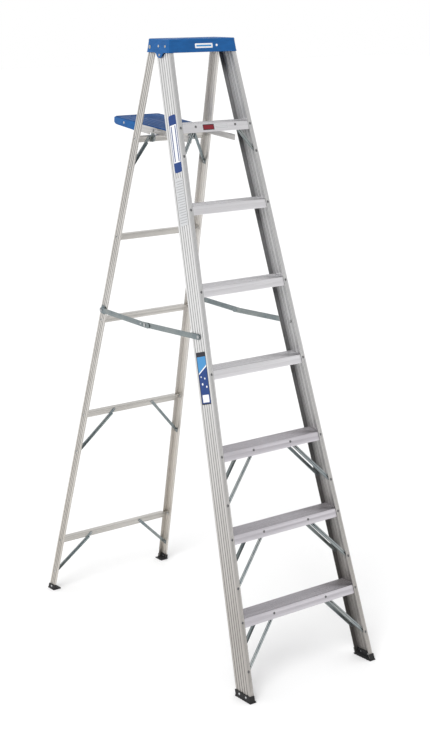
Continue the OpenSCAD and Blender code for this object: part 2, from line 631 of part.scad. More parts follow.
// ---------- pail shelf ----------
// shelf frame: origin at the pivot, +y to the rear along the arm's centre line
module sh() { translate([0, shelf_p[0], shelf_p[1]]) rotate([shelf_tilt, 0, 0]) children(); }
arm_x = 103.6;
arm_t = 1.8;
module shelf_arms() {
  color(silver) both() sh() difference() {
    union() {
      translate([arm_x - arm_t, -246, -arm_h / 2]) cube([arm_t, 500, arm_h]);
      translate([arm_x - 12, -246, arm_h / 2 - arm_t]) cube([12, 500, arm_t]);
      translate([arm_x - arm_t, 20, -arm_h / 2 - 8]) cube([arm_t, 70, 9]);
    }
    xcyl(shelf_r, 80, 120, 24);
    translate([0, 195, 0]) xcyl(riv_r, 80, 120, 16);
    for (y = [40, 230]) translate([arm_x - 7, y, 0]) cylinder(r = riv_r, h = 30, $fn = 16);
  }
}
module shelf_tray() {
  y0 = -96;
  y1 = 263;
  zt = arm_h / 2;
  color(blue) sh() difference() {
    union() {
      translate([-shelf_half, y0, zt]) cube([2 * shelf_half, y1 - y0, 4.2]);
      // rim
      difference() {
        translate([-shelf_half, y0, zt]) cube([2 * shelf_half, y1 - y0, 5.6]);
        translate([-shelf_half + 5, y0 + 5, zt - 1]) cube([2 * shelf_half - 10, y1 - y0 - 10, 9]);
      }
      // side skirts over the rear half, cut off at the rear corner
      for (s = [-1, 1]) flip(s) translate([shelf_half - 3, 0, zt])
        rotate([90, 0, 90]) linear_extrude(3)
          polygon([[118, 0], [y1, 0], [y1, -15], [y1 - 18, -22], [y1 - 40, -30], [118, -31]]);
      translate([-shelf_half, y1 - 3, zt - 15]) cube([2 * shelf_half, 3, 16]);
      translate([-86, y0, zt - 9]) cube([172, 3, 10]);
      for (x = [-60, -20, 20, 60]) translate([x - 1, y0, zt - 9]) cube([2, y1 - y0, 10]);
    }
    // raised-edge trough grooves and slots across the tray
    for (i = [0 : 7]) translate([-84, y0 + 36 + i * 38, zt + 3]) cube([168, 14, 3]);
    for (s = [-1, 1]) flip(s) {
      translate([0, 195, 0]) xcyl(riv_r, 80, 120, 16);
      for (y = [40, 230]) translate([arm_x - 7, y, 0]) cylinder(r = riv_r, h = 30, $fn = 16);
    }
  }
}
module shelf_rivets() {
  color(steel) both() sh() {
    translate([0, 195, 0]) xrivet(riv_r, arm_x - arm_t, shelf_half);
    for (y = [40, 230]) translate([arm_x - 7, y, 0]) {
      translate([0, 0, arm_h / 2 - arm_t - e]) cylinder(r = riv_r - clr, h = arm_t + 4.2, $fn = 16);
      translate([0, 0, arm_h / 2 - arm_t - 1.4]) cylinder(r = 1.6 * riv_r, h = 1.4, $fn = 16);
    }
  }
}
ear_t = 1.9;
ear_x = arm_x - arm_t - 0.3 - ear_t;
module shelf_brackets() {
  color(zinc) both() difference() {
    union() {
      // ear beside the arm
      translate([ear_x, shelf_p[0], shelf_p[1]]) xcyl(8, 0, ear_t, 32);
      intersection() {
        rr() translate([ear_x, -bar_off - 18, 0]) cube([ear_t, 18, 3000]);
        translate([0, shelf_p[0], shelf_p[1] - 24]) rotate([-16, 0, 0]) translate([ear_x, -8, -20]) cube([ear_t, 40, 45]);
        slab(bar_z(4) - bar_h, shelf_p[1] + 2);
      }
      rr() translate([ear_x - 20, -bar_off - ear_t, lr(bar_z(4) - bar_h, -bar_off)]) cube([20 + ear_t, ear_t, 21]);
    }
    translate([0, shelf_p[0], shelf_p[1]]) xcyl(shelf_r, 80, 120, 24);
    rr() translate([88, 0, lr(bar_z(4) - 10, -bar_off)]) ycyl(riv_r, -30, 0, 16);
  }
}
module shelf_pins() {
  color(steel) both() {
    translate([0, shelf_p[0], shelf_p[1]]) {
      xcyl(shelf_r - clr, ear_x - 0.4, arm_x + 0.5, 24);
      translate([arm_x + 0.5 - e, 0, 0]) rotate([0, 90, 0]) dome(6, 1.8, 32);
      xcyl(5.4, ear_x - 2, ear_x - 0.4 + e, 24);
    }
    rr() translate([88, 0, lr(bar_z(4) - 10, -bar_off)]) yrivet(riv_r, -bar_off - ear_t, -bar_off + wall, 14);
  }
}

front_rail(-1);  // front_rail_left
front_rail(1);  // front_rail_right
step(1);  // step_1
step(2);  // step_2
step(3);  // step_3
step(4);  // step_4
step(5);  // step_5
step(6);  // step_6
step(7);  // step_7
top_cap();
front_foot(-1);  // front_foot_left
front_foot(1);  // front_foot_right
knee_set(1);  // knee_braces_1
knee_set(2);  // knee_braces_2
knee_set(3);  // knee_braces_3
knee_top();  // knee_braces_7
step_rivets();
knee_rivets();
cap_rivets();
front_foot_rivets();
hinge_pins();
spreader_pins_front();
rear_rail(-1);  // rear_rail_left
rear_rail(1);  // rear_rail_right
rear_bar(0);  // rear_bar_1
rear_bar(1);  // rear_bar_2
rear_bar(2);  // rear_bar_3
rear_bar(3);  // rear_bar_4
rear_bar(4);  // rear_bar_5
rear_braces();
rear_rivets();
rear_foot(-1);  // rear_foot_left
rear_foot(1);  // rear_foot_right
rear_foot_rivets();
hinge_washers();
spreader_brackets();
spreader_pins_rear();
shelf_brackets();
shelf_pins();
spreader_front(-1);  // spreader_front_left
spreader_front(1);  // spreader_front_right
spreader_rear(-1);  // spreader_rear_left
spreader_rear(1);  // spreader_rear_right
knuckle_pin(-1);  // knuckle_pin_left
knuckle_pin(1);  // knuckle_pin_right
shelf_tray();
shelf_arms();
shelf_rivets();
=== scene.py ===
import json
import math

import bmesh
import bpy
import numpy as np
from mathutils import Matrix, Vector


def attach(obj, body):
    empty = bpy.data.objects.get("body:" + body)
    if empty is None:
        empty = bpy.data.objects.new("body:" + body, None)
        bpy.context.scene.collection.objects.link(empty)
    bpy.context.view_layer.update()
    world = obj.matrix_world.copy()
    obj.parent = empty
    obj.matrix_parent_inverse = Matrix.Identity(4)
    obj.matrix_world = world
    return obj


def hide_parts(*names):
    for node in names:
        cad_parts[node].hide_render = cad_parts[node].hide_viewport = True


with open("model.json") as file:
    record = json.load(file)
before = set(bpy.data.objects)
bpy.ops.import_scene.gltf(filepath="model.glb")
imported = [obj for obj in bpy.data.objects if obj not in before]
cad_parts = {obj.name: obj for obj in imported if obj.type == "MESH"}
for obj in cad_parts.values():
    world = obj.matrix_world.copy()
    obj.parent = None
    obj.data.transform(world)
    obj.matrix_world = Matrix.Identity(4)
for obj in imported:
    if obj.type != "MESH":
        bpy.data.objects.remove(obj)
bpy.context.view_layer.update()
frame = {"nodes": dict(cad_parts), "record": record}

# ---------- driving dimensions, in metres and degrees, as in the CAD ----------
FRONT_LEAN, REAR_LEAN = 16.34, 14.54
FRONT_HALF, REAR_HALF = 0.3073, 0.3012
FRONT_TAPER, REAR_TAPER = 0.0657, 0.0639
FRONT_Y, REAR_Y = -0.701, 0.7025
RAIL_DEPTH, REAR_DEPTH, WALL = 0.0784, 0.0383, 0.002
FRONT_SPLAY = math.degrees(math.atan(FRONT_TAPER * math.cos(math.radians(FRONT_LEAN))))
REAR_SPLAY = math.degrees(math.atan(REAR_TAPER * math.cos(math.radians(REAR_LEAN))))
STEP_PITCH, STEPS = 0.2915, 7
CAP_Z, CAP_TOP = 2.297, 2.347
CAP_HALF, CAP_TOP_HALF = 0.1629, 0.1565
CAP_FRONT, CAP_TOP_FRONT = -0.0304, -0.0232
CAP_REAR, CAP_TOP_REAR = 0.1105, 0.1054
SHELF_TILT, SHELF_PIVOT, SHELF_HALF, ARM_TOP = 5.0, (0.1548, 2.0005), 0.1067, 0.011
SHELF_FRONT, SHELF_REAR = -0.096, 0.263
MM = 0.001

# ---------- mesh tolerances ----------
SHARP = math.radians(32)    # edges that bend more than this are shaded sharp
BROKEN = math.radians(28)   # CAD edges that bend more than this get a small bevel
FLAT = math.radians(0.6)    # CAD facets that bend less than this are joined
MERGE = 2e-6                # corners closer than this are one


# ---------- mesh helpers ----------
def new_object(name, bm, material):
    """The BMesh as an object with smooth faces and sharp edges; the BMesh is freed."""
    mesh = bpy.data.meshes.new(name)
    bmesh.ops.recalc_face_normals(bm, faces=bm.faces)
    bm.normal_update()
    for edge in bm.edges:
        edge.smooth = not (edge.is_manifold and edge.calc_face_angle(0.0) > SHARP)
    for face in bm.faces:
        face.smooth = True
    bm.to_mesh(mesh)
    bm.free()
    obj = bpy.data.objects.new(name, mesh)
    bpy.context.scene.collection.objects.link(obj)
    mesh.materials.append(material)
    return obj


def bridge(bm, ring_a, ring_b):
    """Quads between two rings with the same count."""
    n = len(ring_a)
    for i in range(n):
        bm.faces.new((ring_a[i], ring_a[(i + 1) % n], ring_b[(i + 1) % n], ring_b[i]))


def loft(bm, rings):
    """Skin through rings of points, all with the same count, closed at both ends."""
    loops = [[bm.verts.new(p) for p in ring] for ring in rings]
    for a, b in zip(loops, loops[1:]):
        bridge(bm, a, b)
    bm.faces.new(loops[0])
    bm.faces.new(loops[-1])


def rounded_rect(x0, x1, y0, y1, r, n=8, between=0):
    """Outline of a rectangle, counter-clockwise. Each round corner has n steps, and each side has between more
    points."""
    corners = [(x1 - r, y1 - r, 0), (x0 + r, y1 - r, 90), (x0 + r, y0 + r, 180), (x1 - r, y0 + r, 270)]
    arcs = []
    for cx, cy, start in corners:
        angles = [math.radians(start + 90 * i / n) for i in range(n + 1)]
        arcs.append([(cx + r * math.cos(a), cy + r * math.sin(a)) for a in angles])
    points = []
    for arc, following in zip(arcs, arcs[1:] + arcs[:1]):
        points += arc
        (xa, ya), (xb, yb) = arc[-1], following[0]
        for j in range(1, between + 1):
            t = j / (between + 1)
            points.append((xa + (xb - xa) * t, ya + (yb - ya) * t))
    return points


def oval(cu, cv, ru, rv, n):
    """Outline of an oval about (cu, cv), counter-clockwise."""
    turns = [2 * math.pi * i / n for i in range(n)]
    return [(cu + ru * math.cos(a), cv + rv * math.sin(a)) for a in turns]


def ellipse_like(points, cx, cy, rx, ry):
    """The same number of points on an ellipse, each in the direction of its partner."""
    out = []
    for x, y in points:
        a = math.atan2((y - cy) / ry, (x - cx) / rx)
        out.append((cx + rx * math.cos(a), cy + ry * math.sin(a)))
    return out


def plate(name, outline, place, low, high, material, edge=0.0, segments=3):
    """A flat plate with the given outline, from low to high along its thickness, its edges rounded by edge.
    place(u, v, w) turns plate coordinates into row coordinates."""
    bm = bmesh.new()
    bottom = [bm.verts.new((u, v, low)) for u, v in outline]
    face = bm.faces.new(bottom)
    grown = bmesh.ops.extrude_face_region(bm, geom=[face])
    top = [g for g in grown["geom"] if isinstance(g, bmesh.types.BMVert)]
    for vert in top:
        vert.co.z = high
    bmesh.ops.recalc_face_normals(bm, faces=bm.faces)
    if edge > 0:
        rim = [e for e in bm.edges if e.calc_face_angle(0.0) > math.radians(60)]
        bmesh.ops.bevel(bm, geom=rim, offset=edge, segments=segments, affect="EDGES", profile=0.5)
    for vert in bm.verts:
        vert.co = place(*vert.co)
    return new_object(name, bm, material)


def cad_mesh(node):
    """A CAD node's mesh as a BMesh, its doubled corners merged."""
    bm = bmesh.new()
    bm.from_mesh(frame["nodes"][node].data)
    bmesh.ops.remove_doubles(bm, verts=bm.verts, dist=MERGE)
    bm.verts.index_update()
    return bm


def softened(node, body, material, width=0.35 * MM):
    """The CAD node's shape with its sharp edges broken, as rolled and pressed metal has them."""
    bm = cad_mesh(node)
    bmesh.ops.dissolve_limit(bm, angle_limit=FLAT, verts=bm.verts, edges=bm.edges)
    edges = [e for e in bm.edges if e.is_manifold and e.calc_face_angle(0.0) > BROKEN]
    bmesh.ops.bevel(bm, geom=edges, offset=width, segments=2, affect="EDGES", clamp_overlap=True, profile=0.6)
    piece = new_object("soft_" + node, bm, material)
    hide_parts(node)
    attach(piece, body)


def islands(bm):
    """The separate solids of a mesh, each as a list of its corners."""
    left = set(bm.verts)
    while left:
        todo, found = [min(left, key=lambda v: v.index)], []
        left.discard(todo[0])
        while todo:
            vert = todo.pop()
            found.append(vert.co.copy())
            for edge in vert.link_edges:
                other = edge.other_vert(vert)
                if other in left:
                    left.discard(other)
                    todo.append(other)
        yield found


def rivet_axis(corners):
    """Middle, axis towards the domed head, the head's seat and tip along the axis, and the head's radius."""
    points = np.array(corners)
    middle = points.mean(0)
    values, vectors = np.linalg.eigh(np.cov((points - middle).T))
    axis = vectors[:, 0] if values[1] - values[0] > values[2] - values[1] else vectors[:, 2]
    along = (points - middle) @ axis
    out = np.linalg.norm(points - middle - np.outer(along, axis), axis=1)
    seat = along[out > 0.97 * out.max()].mean()
    far = along.max() if abs(along.max() - seat) < abs(along.min() - seat) else along.min()
    sign = 1.0 if far > seat else -1.0
    return Vector(middle), Vector(axis) * sign, seat * sign, far * sign, out.max()


def lathe(bm, origin, axis, profile, n=16):
    """A profile of (radius, height) points turned about an axis in n steps; a radius of 0 makes a tip."""
    side = axis.orthogonal().normalized()
    other = axis.cross(side)
    loops = []
    for r, t in profile:
        if r == 0:
            loops.append([bm.verts.new(origin + axis * t)])
        else:
            turns = [2 * math.pi * i / n for i in range(n)]
            loops.append([bm.verts.new(origin + axis * t + side * r * math.cos(a) + other * r * math.sin(a))
                          for a in turns])
    for a, b in zip(loops, loops[1:]):
        if len(a) == 1 or len(b) == 1:
            tip, ring = (a[0], b) if len(a) == 1 else (b[0], a)
            for i in range(n):
                bm.faces.new((tip, ring[i], ring[(i + 1) % n]))
        else:
            bridge(bm, a, b)
    return loops


STEM_SHARE = 0.34    # a blind rivet's stem, as a share of its head's radius


def rivet_details(node, body, seated):
    """The pulled stem in each blind rivet's head, near black as painted shade in its hole, and a dark ring
    round the head as a painted shadow.
    """
    source, stems, seat_shadows = cad_mesh(node), bmesh.new(), bmesh.new()
    for corners in islands(source):
        middle, axis, seat, tip, radius = rivet_axis(corners)
        # the stem is coloured near black: painted shade of the hole in the rivet head
        stem = STEM_SHARE * radius
        root = tip - 0.6 * MM
        profile = ((0, root), (stem, root), (stem, tip - 0.02 * MM), (0.8 * stem, tip + 0.10 * MM),
                   (0.3 * stem, tip - 0.05 * MM), (0, tip - 0.12 * MM))
        lathe(stems, middle, axis, profile)
        if seated:
            # a dark ring round the head: painted shadow
            under = seat - 0.2 * MM
            profile = ((0.9 * radius, under), (1.24 * radius, under), (1.2 * radius, seat + 0.07 * MM),
                       (0.9 * radius, seat + 0.10 * MM))
            loops = lathe(seat_shadows, middle, axis, profile)
            bridge(seat_shadows, loops[-1], loops[0])
    source.free()
    pieces = [new_object(node + "_stems", stems, stem_metal)]
    if seated:
        pieces.append(new_object(node + "_seats", seat_shadows, seat_shadow))
    else:
        seat_shadows.free()
    for piece in pieces:
        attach(piece, body)


# ---------- frames of the sloping sections ----------
def section_matrix(lean, splay, half, y0):
    """Rail coordinates (out from the web, back through the depth, up the rail) to row coordinates."""
    plane = Matrix.Translation((0, y0, 0)) @ Matrix.Rotation(math.radians(-lean), 4, "X")
    return plane @ Matrix.Translation((half, 0, 0)) @ Matrix.Rotation(math.radians(-splay), 4, "Y")


def left_rail_frame():
    """The front left rail's coordinates, the mirror of the right rail's, to row coordinates."""
    return Matrix.Scale(-1, 4, (1, 0, 0)) @ section_matrix(FRONT_LEAN, FRONT_SPLAY, FRONT_HALF, FRONT_Y)


def shelf_frame():
    """Shelf coordinates (across, back from the pivot, up from the tray) to row coordinates."""
    return Matrix.Translation((0, *SHELF_PIVOT)) @ Matrix.Rotation(math.radians(SHELF_TILT), 4, "X")


def placed(matrix):
    """The function that takes a point in a frame's coordinates to row coordinates."""
    return lambda u, v, w: matrix @ Vector((u, v, w))


# the plain length at each end of a knee brace's drawn strip, in shares of its half width
STRIP_END = 1.9
# a ridge's section, bottom to top: inset in mm, and share of its height
STRIP_PROFILE = ((0, -0.2), (0, 0.35), (0.3, 0.8), (0.6, 1.0))
# a ridge's offset and half width, in shares of the strip's half width, and its height in mm
# the beads are coloured bright as painted highlights, and the low middle strip dark as painted shade
BEAD_LEFT, BEAD_RIGHT, VALLEY = (-0.50, 0.17, 0.9), (0.50, 0.17, 0.9), (0.0, 0.30, 0.12)


def brace_beads(node):
    """Each knee brace's strip gets a raised bead along both edges, coloured bright as a painted highlight, and
    a thin dark strip between them, a sheet of painted shade.
    """
    plane = Matrix.Translation((0, FRONT_Y, 0)) @ Matrix.Rotation(math.radians(-FRONT_LEAN), 4, "X")
    inverse = plane.inverted()
    source, beads, valleys = cad_mesh(node), bmesh.new(), bmesh.new()
    for corners in islands(source):
        points = np.array([inverse @ c for c in corners])
        behind = points[:, 1].mean() > RAIL_DEPTH / 2
        skin, out = (RAIL_DEPTH - 2 * WALL, 1.0) if behind else (2 * WALL, -1.0)
        flat = points[:, (0, 2)]
        middle = flat.mean(0)
        along = np.linalg.eigh(np.cov((flat - middle).T))[1][:, 1]
        across = np.array((-along[1], along[0]))
        u, v = (flat - middle) @ along, (flat - middle) @ across
        centre = (v.min() + v.max()) / 2
        half = (v.max() - v.min()) / 2
        start, end = u.min() + STRIP_END * half, u.max() - STRIP_END * half
        for (offset, width, height), bm in ((BEAD_LEFT, beads), (BEAD_RIGHT, beads), (VALLEY, valleys)):
            rings = []
            for inset, lift in STRIP_PROFILE:
                w = width * half * (1 - 0.7 * inset)
                a0, a1 = start + inset * MM, end - inset * MM
                ring = []
                for a, b in ((a0, -w), (a1, -w), (a1, w), (a0, w)):
                    at = middle + along * a + across * (centre + offset * half + b)
                    ring.append(plane @ Vector((at[0], skin + out * lift * height * MM, at[1])))
                rings.append(ring)
            loft(bm, rings)
    source.free()
    for name, bm, material in (("beads", beads, bead_highlight_zinc), ("valleys", valleys, valley_shade_zinc)):
        piece = new_object(f"{node}_{name}", bm, material)
        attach(piece, body_of[node])


# ---------- material helpers ----------
class Shade:
    """A material being put together: its shader, object coordinates and short forms of the usual nodes."""

    def __init__(self, name, metallic=0.0, roughness=0.5):
        self.mat = bpy.data.materials.new(name)
        self.mat.use_nodes = True
        self.tree = self.mat.node_tree
        self.tree.nodes.clear()
        out = self.node("ShaderNodeOutputMaterial")
        self.bsdf = self.node("ShaderNodeBsdfPrincipled")
        self.link(self.bsdf.outputs["BSDF"], out.inputs["Surface"])
        self.set("Metallic", metallic)
        self.set("Roughness", roughness)
        self.coords = self.node("ShaderNodeTexCoord").outputs["Object"]

    def node(self, kind, **values):
        n = self.tree.nodes.new(kind)
        for key, value in values.items():
            setattr(n, key, value)
        return n

    def link(self, a, b):
        self.tree.links.new(a, b)

    def set(self, socket, value):
        self.bsdf.inputs[socket].default_value = value

    def drive(self, socket, output):
        self.link(output, self.bsdf.inputs[socket])

    def mapped(self, rotation=(0, 0, 0), location=(0, 0, 0), scale=(1, 1, 1)):
        """Object coordinates turned and shifted, then scaled."""
        turn = self.node("ShaderNodeMapping")
        turn.inputs["Rotation"].default_value = rotation
        turn.inputs["Location"].default_value = location
        self.link(self.coords, turn.inputs["Vector"])
        grow = self.node("ShaderNodeMapping")
        grow.inputs["Scale"].default_value = scale
        self.link(turn.outputs["Vector"], grow.inputs["Vector"])
        return grow.outputs["Vector"]

    def noise(self, vector, detail=3.0, rough=0.55, distortion=0.0):
        n = self.node("ShaderNodeTexNoise")
        n.inputs["Scale"].default_value = 1.0
        n.inputs["Detail"].default_value = detail
        n.inputs["Roughness"].default_value = rough
        n.inputs["Distortion"].default_value = distortion
        self.link(vector, n.inputs["Vector"])
        return n.outputs["Fac"]

    def ramp(self, value, low, high, out_low=0.0, out_high=1.0):
        """out_low up to low, out_high from high on, straight between them."""
        n = self.node("ShaderNodeMapRange")
        n.inputs["From Min"].default_value = low
        n.inputs["From Max"].default_value = high
        n.inputs["To Min"].default_value = out_low
        n.inputs["To Max"].default_value = out_high
        self.link(value, n.inputs["Value"])
        return n.outputs["Result"]

    def math(self, operation, a, b=0):
        n = self.node("ShaderNodeMath", operation=operation)
        for i, v in enumerate((a, b)):
            if isinstance(v, (int, float)):
                n.inputs[i].default_value = v
            else:
                self.link(v, n.inputs[i])
        return n.outputs[0]

    def mix(self, factor, a, b, blend="MIX"):
        n = self.node("ShaderNodeMix", data_type="RGBA", blend_type=blend)
        for socket, v in ((n.inputs[0], factor), (n.inputs[6], a), (n.inputs[7], b)):
            if isinstance(v, tuple):
                socket.default_value = (*v, 1.0)
            elif isinstance(v, (int, float)):
                socket.default_value = v
            else:
                self.link(v, socket)
        return n.outputs[2]

    def axis(self, vector, name):
        n = self.node("ShaderNodeSeparateXYZ")
        self.link(vector, n.inputs[0])
        return n.outputs[name]

    def bump(self, heights, strength, distance):
        n = self.node("ShaderNodeBump")
        n.inputs["Strength"].default_value = strength
        n.inputs["Distance"].default_value = distance
        self.link(heights, n.inputs["Height"])
        self.drive("Normal", n.outputs["Normal"])


def rail_space(matrix):
    """The turn and shift that bring row coordinates into a rail's own."""
    inverse = matrix.inverted()
    return inverse.to_euler("XYZ"), inverse.to_translation()


# ---------- materials ----------
def stripes(s, value, start, pitch, half_width):
    """1 along soft-edged lines a pitch apart, the first half a pitch after start, and 0 between them."""
    phase = s.math("FRACT", s.math("DIVIDE", s.math("SUBTRACT", value, start), pitch))
    away = s.math("MULTIPLY", s.math("ABSOLUTE", s.math("SUBTRACT", phase, 0.5)), pitch)
    return s.ramp(away, 0.75 * half_width, 1.15 * half_width, 1.0, 0.0)


def mill_tone(s, rotation, location, along, bright, dull):
    """Die lines along the section, cloudy tone and rubbed marks: colour, roughness and height."""
    fine, broad = [700.0] * 3, [110.0] * 3
    fine[along], broad[along] = 3.0, 0.6
    lines = s.noise(s.mapped(rotation, location, fine), detail=2)
    bands = s.noise(s.mapped(rotation, location, broad), detail=3)
    cloud = s.noise(s.mapped(scale=(5, 5, 5)), detail=4, distortion=0.6)
    marks = s.noise(s.mapped(rotation, location, (160, 160, 40)), detail=5, rough=0.7)
    tone = s.math("ADD", s.math("MULTIPLY", lines, 0.35), s.math("MULTIPLY", bands, 0.45))
    tone = s.math("ADD", tone, s.math("MULTIPLY", cloud, 0.20))
    colour = s.mix(s.ramp(tone, 0.40, 0.60), dull, bright)
    rubbed = s.ramp(marks, 0.66, 0.74)
    colour = s.mix(s.math("MULTIPLY", rubbed, 0.35), colour, tuple(c * 0.72 for c in dull))
    roughness = s.math("ADD", s.ramp(tone, 0.40, 0.60, 0.44, 0.32), s.math("MULTIPLY", rubbed, 0.12))
    return colour, roughness, s.math("ADD", lines, s.math("MULTIPLY", bands, 0.6))


def floor_shade_tint(s, colour, low, high, wear_and_floor_shade):
    """Painted shade and floor reflection: metal below the height low is multiplied by the given tint, and metal
    above high keeps its colour.
    """
    return s.mix(s.ramp(s.axis(s.coords, "Z"), low, high, 1.0, 0.0), colour, wear_and_floor_shade, "MULTIPLY")


SKIN = 1.2 * MM          # what lies less deep than this in a rail belongs to its outer faces
GROOVE_EDGE = 4 * MM     # plain strip between a web's edge and its first groove's band
RAIL_SHADE_LOW, RAIL_SHADE_HIGH = 0.3, 1.3    # rails lose the painted shade and floor reflection between these heights


def rail_aluminium(name, matrix, side, depth, grooves, ribs, bright, dull, inside, wear_and_floor_shade, shade):
    """Extruded channel: painted shade in the rolled grooves outside; inside, a painted tone on the channel's
    faces, painted highlights on the rib crests and painted shade beside them. The depth is where the web starts
    and ends."""
    s = Shade(name, metallic=1.0)
    turn, shift = rail_space(matrix)
    colour, roughness, height = mill_tone(s, turn, shift, 2, bright, dull)
    local = s.mapped(turn, shift)
    x, y = s.math("MULTIPLY", s.axis(local, "X"), side), s.axis(local, "Y")
    low, high = depth
    # the web's grooves, coloured darker as painted shade
    pitch = (high - low - 2 * GROOVE_EDGE) / grooves
    outside = s.math("GREATER_THAN", x, -SKIN)
    groove_shade = s.math("MULTIPLY", stripes(s, y, low + GROOVE_EDGE, pitch, 1.7 * MM), outside)
    groove_shade = s.math("MULTIPLY", groove_shade, s.ramp(y, low + GROOVE_EDGE, low + 4.2 * MM))
    groove_shade = s.math("MULTIPLY", groove_shade, s.ramp(y, high - 4.2 * MM, high - GROOVE_EDGE, 1.0, 0.0))
    # painted shade in the grooves
    colour = s.mix(s.math("MULTIPLY", groove_shade, 0.85), colour, tuple(c * 0.28 for c in dull))
    # die lines on the flanges' outer faces
    face = s.math("ABSOLUTE", s.math("SUBTRACT", y, (low + high) / 2))
    face = s.math("MULTIPLY", s.math("GREATER_THAN", face, (high - low) / 2 - 1.0 * MM),
                  s.math("LESS_THAN", x, -3 * MM))
    drawn = s.math("MULTIPLY", stripes(s, x, 0.0, 5.4 * MM, 0.8 * MM), face)
    colour = s.mix(s.math("MULTIPLY", drawn, 0.7), colour, tuple(c * 0.3 for c in dull))
    # the channel's inside takes the colour inside: painted shade on the front rails, painted light on the rear
    # rails
    inner = s.math("LESS_THAN", x, -SKIN)
    inner = s.math("MULTIPLY", inner, s.math("GREATER_THAN", y, low + SKIN))
    inner = s.math("MULTIPLY", inner, s.math("LESS_THAN", y, high - SKIN))
    colour = s.mix(s.math("MULTIPLY", inner, 0.85), colour, inside)
    # painted highlight on the ribs' crests and painted shade on the strips beside them
    rib_pitch = (high - low) / (ribs + 1)
    middle = low + rib_pitch / 2
    shadow = stripes(s, y, middle, rib_pitch, 3.8 * MM)
    crest = stripes(s, y, middle, rib_pitch, 1.1 * MM)
    shadow = s.math("MULTIPLY", s.math("SUBTRACT", shadow, crest), inner)
    colour = s.mix(s.math("MULTIPLY", shadow, shade), colour, tuple(c * 0.3 for c in inside))
    # painted highlight on the rib crests
    colour = s.mix(s.math("MULTIPLY", s.math("MULTIPLY", crest, inner), 0.8), colour, bright)
    # painted shade and floor reflection, darker and warmer towards the bottom
    colour = floor_shade_tint(s, colour, RAIL_SHADE_LOW, RAIL_SHADE_HIGH, wear_and_floor_shade)
    s.drive("Base Color", colour)
    s.drive("Roughness", s.math("ADD", roughness, s.math("MULTIPLY", s.math("ADD", groove_shade, inner), 0.12)))
    s.bump(height, 0.12, 0.15 * MM)
    return s.mat


# between these two heights the lower steps' painted shade, a darker tint, fades out, and the upper treads'
# painted shade fades in
STEP_SHADE_LOW, STEP_SHADE_HIGH = 0.95, 1.15
LOWER_STEP_SHADE, UPPER_TREAD_SHADE = (0.78, 0.76, 0.785), (0.62, 0.615, 0.62)


def step_aluminium(name, bright, dull, tread, groove):
    """Extruded step: clean skirts, painted shade on the tread, more of it on the upper treads, and painted
    shade in its grip grooves.
    """
    s = Shade(name, metallic=1.0)
    colour, roughness, height = mill_tone(s, (0, 0, 0), (0, 0, 0), 0, bright, dull)
    facing = s.node("ShaderNodeTexCoord").outputs["Normal"]
    flat = s.ramp(s.axis(facing, "Z"), 0.80, 0.95)
    # height above the tread below; the grip grooves' floors are a little less than a whole pitch up
    under = s.math("FRACT", s.math("DIVIDE", s.axis(s.coords, "Z"), STEP_PITCH))
    under = s.math("MULTIPLY", under, STEP_PITCH)
    # the grip grooves' floors, which take painted shade
    sunk = s.math("MULTIPLY", s.ramp(under, STEP_PITCH - 1.3 * MM, STEP_PITCH - 1.2 * MM),
                  s.ramp(under, STEP_PITCH - 0.7 * MM, STEP_PITCH - 0.3 * MM, 1.0, 0.0))
    # painted shade: the tread darker than the skirts
    colour = s.mix(flat, colour, tread, "MULTIPLY")
    # painted shade on the upper treads
    upper_shade = s.ramp(s.axis(s.coords, "Z"), STEP_SHADE_LOW, STEP_SHADE_HIGH)
    colour = s.mix(s.math("MULTIPLY", upper_shade, flat), colour, UPPER_TREAD_SHADE, "MULTIPLY")
    # painted shade in the grip grooves
    colour = s.mix(s.math("MULTIPLY", s.math("MULTIPLY", sunk, flat), 0.85), colour, groove)
    # painted shade on the lower steps, darker towards the floor
    colour = floor_shade_tint(s, colour, STEP_SHADE_LOW, STEP_SHADE_HIGH, LOWER_STEP_SHADE)
    s.drive("Base Color", colour)
    s.drive("Roughness", s.math("ADD", roughness, s.math("MULTIPLY", flat, 0.16)))
    s.bump(height, 0.14, 0.15 * MM)
    return s.mat


def plain_aluminium(name, along, bright, dull):
    """Mill aluminium drawn along one axis: 0 for x, 1 for y."""
    s = Shade(name, metallic=1.0)
    colour, roughness, height = mill_tone(s, (0, 0, 0), (0, 0, 0), along, bright, dull)
    s.drive("Base Color", colour)
    s.drive("Roughness", roughness)
    s.bump(height, 0.12, 0.15 * MM)
    return s.mat


def zinc_plate(name, blueish=(0.17, 0.205, 0.218), straw=(0.26, 0.285, 0.282), crystal=(0.46, 0.50, 0.515)):
    """Bright zinc on steel: faint blue and straw passivation, fine spangle, dull spots."""
    s = Shade(name, metallic=1.0)
    spangle = s.node("ShaderNodeTexVoronoi")
    spangle.inputs["Scale"].default_value = 420.0
    s.link(s.coords, spangle.inputs["Vector"])
    film = s.noise(s.mapped(scale=(9, 9, 9)), detail=3, distortion=1.2)
    fine = s.noise(s.mapped(scale=(700, 700, 700)), detail=2)
    colour = s.mix(s.ramp(film, 0.36, 0.64), blueish, straw)
    colour = s.mix(s.math("MULTIPLY", s.axis(spangle.outputs["Color"], "X"), 0.22), colour, crystal)
    s.drive("Base Color", colour)
    s.drive("Roughness", s.ramp(fine, 0.3, 0.7, 0.30, 0.46))
    s.bump(fine, 0.08, 0.08 * MM)
    return s.mat


def plated_rivet(name):
    """Bright plated steel with cloudy tone."""
    s = Shade(name, metallic=1.0)
    fine = s.noise(s.mapped(scale=(900, 900, 900)), detail=3)
    cloud = s.noise(s.mapped(scale=(30, 30, 30)), detail=2)
    s.drive("Base Color", s.mix(s.ramp(cloud, 0.35, 0.65), (0.30, 0.305, 0.31), (0.55, 0.56, 0.57)))
    s.drive("Roughness", s.ramp(fine, 0.3, 0.7, 0.28, 0.42))
    s.bump(fine, 0.1, 0.06 * MM)
    return s.mat


